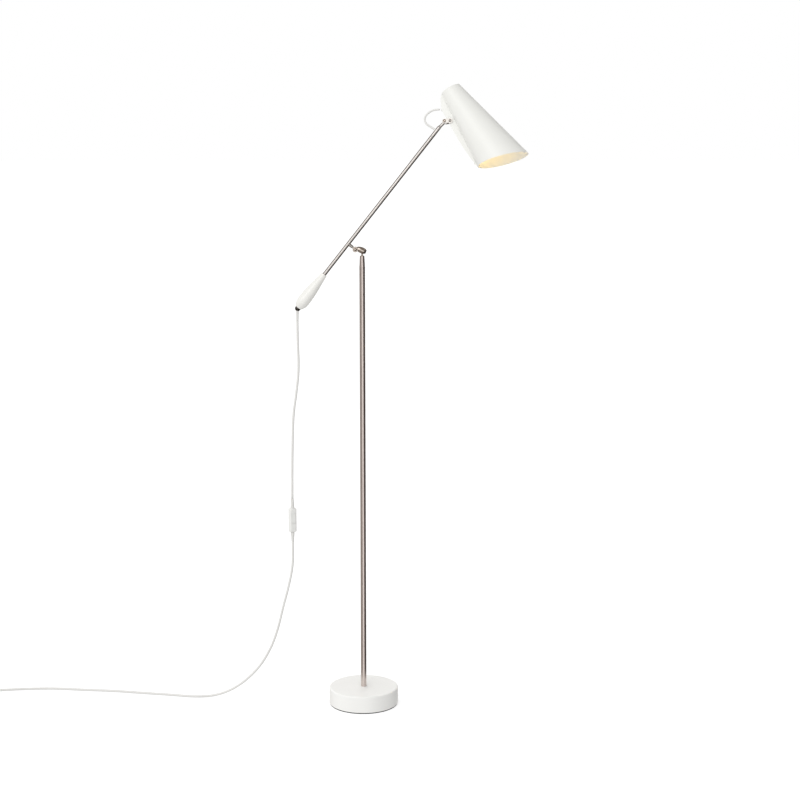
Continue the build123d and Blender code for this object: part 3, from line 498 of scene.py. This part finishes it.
def ring_tree():
    """Moulded or rolled rings along a straight line, their radius running from the first to the last."""
    tree, given = repeating_tree("rings_on_a_line", (
        ("Start", "NodeSocketVector"), ("Step", "NodeSocketVector"), ("Rings", "NodeSocketInt"),
        ("First Radius", "NodeSocketFloat"), ("Last Radius", "NodeSocketFloat"), ("Bead", "NodeSocketFloat")))
    places = add(tree, "GeometryNodeMeshLine", {"Count": given["Rings"], "Start Location": given["Start"],
                                                "Offset": given["Step"]}, mode="OFFSET")
    circle = add(tree, "GeometryNodeCurvePrimitiveCircle", {"Resolution": 40,
                                                            "Radius": given["First Radius"]})
    bead = add(tree, "GeometryNodeCurvePrimitiveCircle", {"Resolution": 8, "Radius": given["Bead"]})
    ring = add(tree, "GeometryNodeCurveToMesh", {"Curve": circle.outputs[0],
                                                 "Profile Curve": bead.outputs[0]})
    facing = add(tree, "FunctionNodeAlignRotationToVector", {"Vector": given["Step"]}, axis="Z")
    last = add(tree, "ShaderNodeMath", {0: given["Rings"], 1: 1.0}, operation="SUBTRACT")
    index = add(tree, "GeometryNodeInputIndex")
    share = add(tree, "ShaderNodeMath", {0: index.outputs[0], 1: last.outputs[0]}, operation="DIVIDE")
    growth = add(tree, "ShaderNodeMath", {0: given["Last Radius"], 1: given["First Radius"]},
                 operation="DIVIDE")
    size = add(tree, "ShaderNodeMapRange", {"Value": share.outputs[0], "To Min": 1.0,
                                            "To Max": growth.outputs[0]})
    rings = add(tree, "GeometryNodeInstanceOnPoints", {
        "Points": places.outputs[0], "Instance": ring.outputs[0], "Rotation": facing.outputs[0],
        "Scale": size.outputs[0]})
    return finish_tree(tree, given, rings.outputs[0])


def bar_tree():
    """Round-ended grip bars side by side in a straight row."""
    tree, given = repeating_tree("bars_in_a_row", (
        ("Start", "NodeSocketVector"), ("Step", "NodeSocketVector"), ("Bars", "NodeSocketInt"),
        ("Along", "NodeSocketVector"), ("Bead", "NodeSocketFloat")))
    places = add(tree, "GeometryNodeMeshLine", {"Count": given["Bars"], "Start Location": given["Start"],
                                                "Offset": given["Step"]}, mode="OFFSET")
    back = add(tree, "ShaderNodeVectorMath", {0: given["Along"], 3: -1.0}, operation="SCALE")
    line = add(tree, "GeometryNodeCurvePrimitiveLine", {"Start": back.outputs[0], "End": given["Along"]})
    fine = add(tree, "GeometryNodeResampleCurve", {"Curve": line.outputs[0], "Count": 12})
    way = add(tree, "GeometryNodeSplineParameter").outputs["Factor"]
    ends = add(tree, "ShaderNodeMapRange", {"Value": way, "To Min": -1.0, "To Max": 1.0})
    power = add(tree, "ShaderNodeMath", {0: ends.outputs[0], 1: 6.0}, operation="POWER")
    left = add(tree, "ShaderNodeMath", {0: 1.02, 1: power.outputs[0]}, operation="SUBTRACT")
    width = add(tree, "ShaderNodeMath", {0: left.outputs[0]}, operation="SQRT")
    rounded = add(tree, "GeometryNodeSetCurveRadius", {"Curve": fine.outputs[0], "Radius": width.outputs[0]})
    bead = add(tree, "GeometryNodeCurvePrimitiveCircle", {"Resolution": 10, "Radius": given["Bead"]})
    swell = add(tree, "GeometryNodeInputRadius")
    bar = add(tree, "GeometryNodeCurveToMesh", {"Curve": rounded.outputs[0], "Profile Curve": bead.outputs[0],
                                                "Scale": swell.outputs[0], "Fill Caps": True})
    bars = add(tree, "GeometryNodeInstanceOnPoints", {"Points": places.outputs[0],
                                                      "Instance": bar.outputs[0]})
    return finish_tree(tree, given, bars.outputs[0])


def grown(name, tree, sizes, body):
    """Run a tree with these sizes, keep the result as a plain mesh, and let it ride on a body."""
    seed = bpy.data.objects.new(name + "_seed", bpy.data.meshes.new(name + "_seed"))
    scene.collection.objects.link(seed)
    modifier = seed.modifiers.new("grow", "NODES")
    modifier.node_group = tree
    sockets = {item.name: item.identifier for item in tree.interface.items_tree if item.in_out == "INPUT"}
    for label, value in sizes.items():
        modifier[sockets[label]] = value
    result = seed.evaluated_get(bpy.context.evaluated_depsgraph_get())
    mesh = bpy.data.meshes.new_from_object(result)
    mesh.name = name
    bpy.data.objects.remove(seed)
    piece = bpy.data.objects.new(name, mesh)
    scene.collection.objects.link(piece)
    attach(piece, body)
    return piece


RINGS = ring_tree()
BARS = bar_tree()
SWITCH_MIDDLE = Vector((-0.1519, 0, 0.411))
SWITCH_HALF = 26 * MM
RELIEF_LENGTH = 20 * MM
PLUG_X = -0.838
PLUG_MID_Z = 6.8 * MM
PLUG_RELIEF_Y = 0.046
PLUG_BACK_Y = 0.016
PLUG_GRIP_HEIGHT = 6.2 * MM
GRIP_BEAD_R = 0.55 * MM
BEND_RING_BEAD_R = 0.42 * MM
THREAD_TURNS = 11
THREAD_PITCH = 3 * MM
THREAD_START = 41 * MM
THREAD_R = 13.5 * MM


def relief_rings(name, start, way, first, last, count, length, body):
    """Bend rings round a tapered strain relief, set into its taper by half their bead."""
    step = Vector(way) * (length / count)
    return grown(name, RINGS, {"Start": Vector(start) + step * 0.5, "Step": step, "Rings": count,
                               "First Radius": first, "Last Radius": last, "Bead": BEND_RING_BEAD_R,
                               "Finish": finishes["sheath"]}, body)


def switch_rings():
    """Bend rings on the tapers above and below the switch."""
    return [relief_rings(name, SWITCH_MIDDLE + Vector((0, 0, side * SWITCH_HALF)), (0, 0, side), 3.85 * MM,
                         2.75 * MM, 8, RELIEF_LENGTH, "swivel_head")
            for side, name in ((1, "switch_upper_bend_rings"), (-1, "switch_lower_bend_rings"))]


def plug_details():
    """Bend rings on the plug's taper, and grip bars on both its flat sides."""
    made = [relief_rings("plug_bend_rings", (PLUG_X, PLUG_BACK_Y, PLUG_MID_Z), (0, 1, 0), 4.9 * MM, 2.95 * MM,
                         10, PLUG_RELIEF_Y - PLUG_BACK_Y, "swivel_head")]
    for side, name in ((1, "plug_upper_grip"), (-1, "plug_lower_grip")):
        height = PLUG_MID_Z + side * PLUG_GRIP_HEIGHT
        made.append(grown(name, BARS, {"Start": Vector((PLUG_X, PLUG_BACK_Y - 24 * MM, height)),
                                       "Step": Vector((0, 2.6 * MM, 0)), "Bars": 6,
                                       "Along": Vector((7 * MM, 0, 0)), "Bead": GRIP_BEAD_R,
                                       "Finish": finishes["moulded"]}, "swivel_head"))
    return made


def holder_thread():
    """The rolled thread round the lampholder's skirt, that a shade ring would screw onto."""
    grown("holder_thread", RINGS, {"Start": SHADE_ORIGIN + SHADE_AXIS * THREAD_START,
                                   "Step": SHADE_AXIS * THREAD_PITCH, "Rings": THREAD_TURNS,
                                   "First Radius": THREAD_R, "Last Radius": THREAD_R, "Bead": 0.8 * MM,
                                   "Finish": finishes["thermoset"]}, "shade")


def ribbed_pad():
    """The anti-slip pad under the base: a turned disc whose lower face has round ribs, 4 mm apart."""
    low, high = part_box("base_pad")
    radius = (high[0] - low[0]) / 2
    pitch, groove = 4 * MM, 0.7 * MM
    edge = 0.3 * MM
    outline = [(0, high[2]), (radius - edge, high[2]), (radius, high[2] - edge), (radius, low[2] + edge),
               (radius - edge, low[2])]
    for k in range(int((radius - 3 * MM) / pitch)):
        outer = radius - 2 * MM - k * pitch
        outline += [(outer, low[2]), (outer - 0.4 * MM, low[2] + groove),
                    (outer - 1.6 * MM, low[2] + groove), (outer - 2.0 * MM, low[2])]
    outline += [(0, low[2])]
    pad = lathe("ribbed_foot_pad", outline, 96)
    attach(pad, "base")
    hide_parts("base_pad")
    paint(pad, finishes["foam"])


def lathe(name, outline, sides):
    """Turn an outline of (radius, height) about the vertical axis, closed on the axis at both ends."""
    shape = bmesh.new()
    rings = []
    for radius, height in outline:
        if radius == 0:
            rings.append([shape.verts.new((0, 0, height))])
            continue
        turns = [2 * math.pi * k / sides for k in range(sides)]
        rings.append([shape.verts.new((radius * math.cos(t), radius * math.sin(t), height)) for t in turns])
    for ring, following in zip(rings, rings[1:]):
        for k in range(sides):
            after = (k + 1) % sides
            if len(ring) == 1:
                shape.faces.new((ring[0], following[after], following[k]))
            elif len(following) == 1:
                shape.faces.new((ring[k], ring[after], following[0]))
            else:
                shape.faces.new((ring[k], ring[after], following[after], following[k]))
    return finished_mesh(name, shape, smooth=False)


def coil_strap():
    """The strap round the coil: a soft plastic band with rounded corners."""
    around = math.radians(150)
    out = Vector((math.cos(around), math.sin(around), 0))
    along = Vector((-out.y, out.x, 0))
    middle = COIL_CENTRE + out * (27.85 * MM) + Vector((0, 0, 5.75 * MM))
    half_wide, half_high, corner = 5.3 * MM, 5.1 * MM, 2.4 * MM
    half_thick, half_width, flare = 0.275 * MM, 4 * MM, 1.06
    shape = bmesh.new()
    loops = []
    for grow, edge in ((-half_thick, -1), (-half_thick, 1), (half_thick, -flare), (half_thick, flare)):
        loop = []
        for quarter, (right, top) in enumerate(((1, 1), (-1, 1), (-1, -1), (1, -1))):
            for k in range(7):
                turn = math.radians(90 * quarter + 15 * k)
                x = right * (half_wide - corner) + (corner + grow) * math.cos(turn)
                z = top * (half_high - corner) + (corner + grow) * math.sin(turn)
                loop.append(shape.verts.new(middle + out * x + Vector((0, 0, z)) + along * half_width * edge))
        loops.append(loop)
    inner_a, inner_b, outer_a, outer_b = loops
    walls = ((inner_a, inner_b), (inner_b, outer_b), (outer_b, outer_a), (outer_a, inner_a))
    for first, second in walls:
        for k in range(len(first)):
            after = (k + 1) % len(first)
            shape.faces.new((first[k], first[after], second[after], second[k]))
    strap = finished_mesh("coil_strap", shape)
    bevel = strap.modifiers.new("soft_edges", "BEVEL")
    bevel.width = 0.12 * MM
    bevel.segments = 2
    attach(strap, "swivel_head")
    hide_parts("coil_tie")
    paint(strap, finishes["moulded"])
    return strap


holder_thread()
ribbed_pad()
switch_rings()
plug_details() + [coil_strap()]


# ------------------------------------------------------------------ studio
def studio_floor():
    """A wide pale floor that takes shadows and isn't seen in anything shiny."""
    shape = bmesh.new()
    bmesh.ops.create_grid(shape, x_segments=2, y_segments=2, size=30)
    floor = finished_mesh("studio_floor", shape, smooth=False)
    material, tree = new_material("pale_floor")
    shader = add(tree, "ShaderNodeBsdfPrincipled", {"Base Color": colour("BCBCBC"), "Roughness": 0.9,
                                                    "Specular IOR Level": 0.0,
                                                    "Emission Color": colour("FFFFFF"),
                                                    "Emission Strength": 0.62})
    add(tree, "ShaderNodeOutputMaterial", {"Surface": shader.outputs[0]})
    paint(floor, material)
    floor.visible_glossy = False
    floor.visible_diffuse = False


def softbox(name, place, aim, width, height, watts):
    """A flat rectangular lamp, aimed at a point."""
    data = bpy.data.lights.new(name, "AREA")
    data.shape = "RECTANGLE"
    data.size = width
    data.size_y = height
    data.energy = watts
    lamp = bpy.data.objects.new(name, data)
    lamp.location = place
    lamp.rotation_euler = (Vector(aim) - Vector(place)).to_track_quat("-Z", "Y").to_euler()
    scene.collection.objects.link(lamp)


def lobe(tree, way, towards, outside, inside):
    """1 where a direction is well inside a round patch of the room, 0 where it is well outside."""
    nearness = add(tree, "ShaderNodeVectorMath", {0: way, 1: Vector(towards).normalized()},
                   operation="DOT_PRODUCT")
    return add(tree, "ShaderNodeMapRange", {"Value": nearness.outputs["Value"], "From Min": outside,
                                            "From Max": inside}, interpolation_type="SMOOTHSTEP").outputs[0]


def mirrored_room(tree, way):
    """What shines sees bright panels in front and behind, one up on the left in front, and dim walls."""
    parts = add(tree, "ShaderNodeSeparateXYZ", {0: way}).outputs
    depth = add(tree, "ShaderNodeMath", {0: parts["Y"]}, operation="ABSOLUTE")
    folded = add(tree, "ShaderNodeCombineXYZ", {0: parts["X"], 1: depth.outputs[0], 2: parts["Z"]}).outputs[0]
    ahead = lobe(tree, folded, (0.10, 0.985, -0.12), 0.87, 0.92)
    upper_left = lobe(tree, way, (-0.50, -0.68, 0.54), 0.85, 0.90)
    panels = add(tree, "ShaderNodeMath", {0: ahead, 1: upper_left}, operation="MAXIMUM")
    sideways = add(tree, "ShaderNodeMapRange", {"Value": parts["X"], "From Min": -0.5, "From Max": 0.3},
                   interpolation_type="SMOOTHSTEP")
    walls = add(tree, "ShaderNodeMix", {0: sideways.outputs[0], 6: colour("928D88"), 7: colour("45403D")},
                data_type="RGBA")
    overhead = add(tree, "ShaderNodeMapRange", {"Value": parts["Z"], "From Min": 0.2, "From Max": 0.6},
                   interpolation_type="SMOOTHSTEP")
    dimmed = add(tree, "ShaderNodeMix", {0: overhead.outputs[0], 6: walls.outputs[2], 7: colour("86807A")},
                 data_type="RGBA")
    shine = add(tree, "ShaderNodeMix", {0: panels.outputs[0], 6: dimmed.outputs[2], 7: colour("FFFDFB")},
                data_type="RGBA")
    return add(tree, "ShaderNodeBackground", {"Color": shine.outputs[2], "Strength": 1.25}).outputs[0]


def studio_room():
    """White all round, brighter above, with a dark flag up on the right that shades the white pieces."""
    world = bpy.data.worlds.new("studio_room")
    world.use_nodes = True
    tree = world.node_tree
    tree.nodes.clear()
    way = add(tree, "ShaderNodeTexCoord").outputs["Generated"]
    path = add(tree, "ShaderNodeLightPath").outputs
    towards = add(tree, "ShaderNodeVectorMath", {0: way, 1: (-0.25, 0.20, 0.95)}, operation="DOT_PRODUCT")
    fill = add(tree, "ShaderNodeMapRange", {"Value": towards.outputs["Value"], "From Min": -1.0,
                                            "From Max": 1.0, "To Min": 0.74, "To Max": 1.28})
    flag = lobe(tree, way, (0.85, 0.10, 0.52), 0.45, 0.90)
    shaded = add(tree, "ShaderNodeMapRange", {"Value": flag, "To Min": 1.0, "To Max": 0.42})
    fill = add(tree, "ShaderNodeMath", {0: fill.outputs[0], 1: shaded.outputs[0]}, operation="MULTIPLY")
    strength = add(tree, "ShaderNodeMix", {0: path["Is Camera Ray"], 2: fill.outputs[0], 3: 1.0})
    soft = add(tree, "ShaderNodeBackground", {"Color": colour("FFFFFF"), "Strength": strength.outputs[0]})
    light = add(tree, "ShaderNodeMixShader", {0: path["Is Glossy Ray"], 1: soft.outputs[0],
                                              2: mirrored_room(tree, way)})
    add(tree, "ShaderNodeOutputWorld", {"Surface": light.outputs[0]})
    scene.world = world


studio_floor()
studio_room()
softbox("key_softbox", (-1.8, -3.0, 2.6), (0.05, 0, 0.9), 1.8, 1.8, 20)
scene.view_settings.view_transform = "Standard"
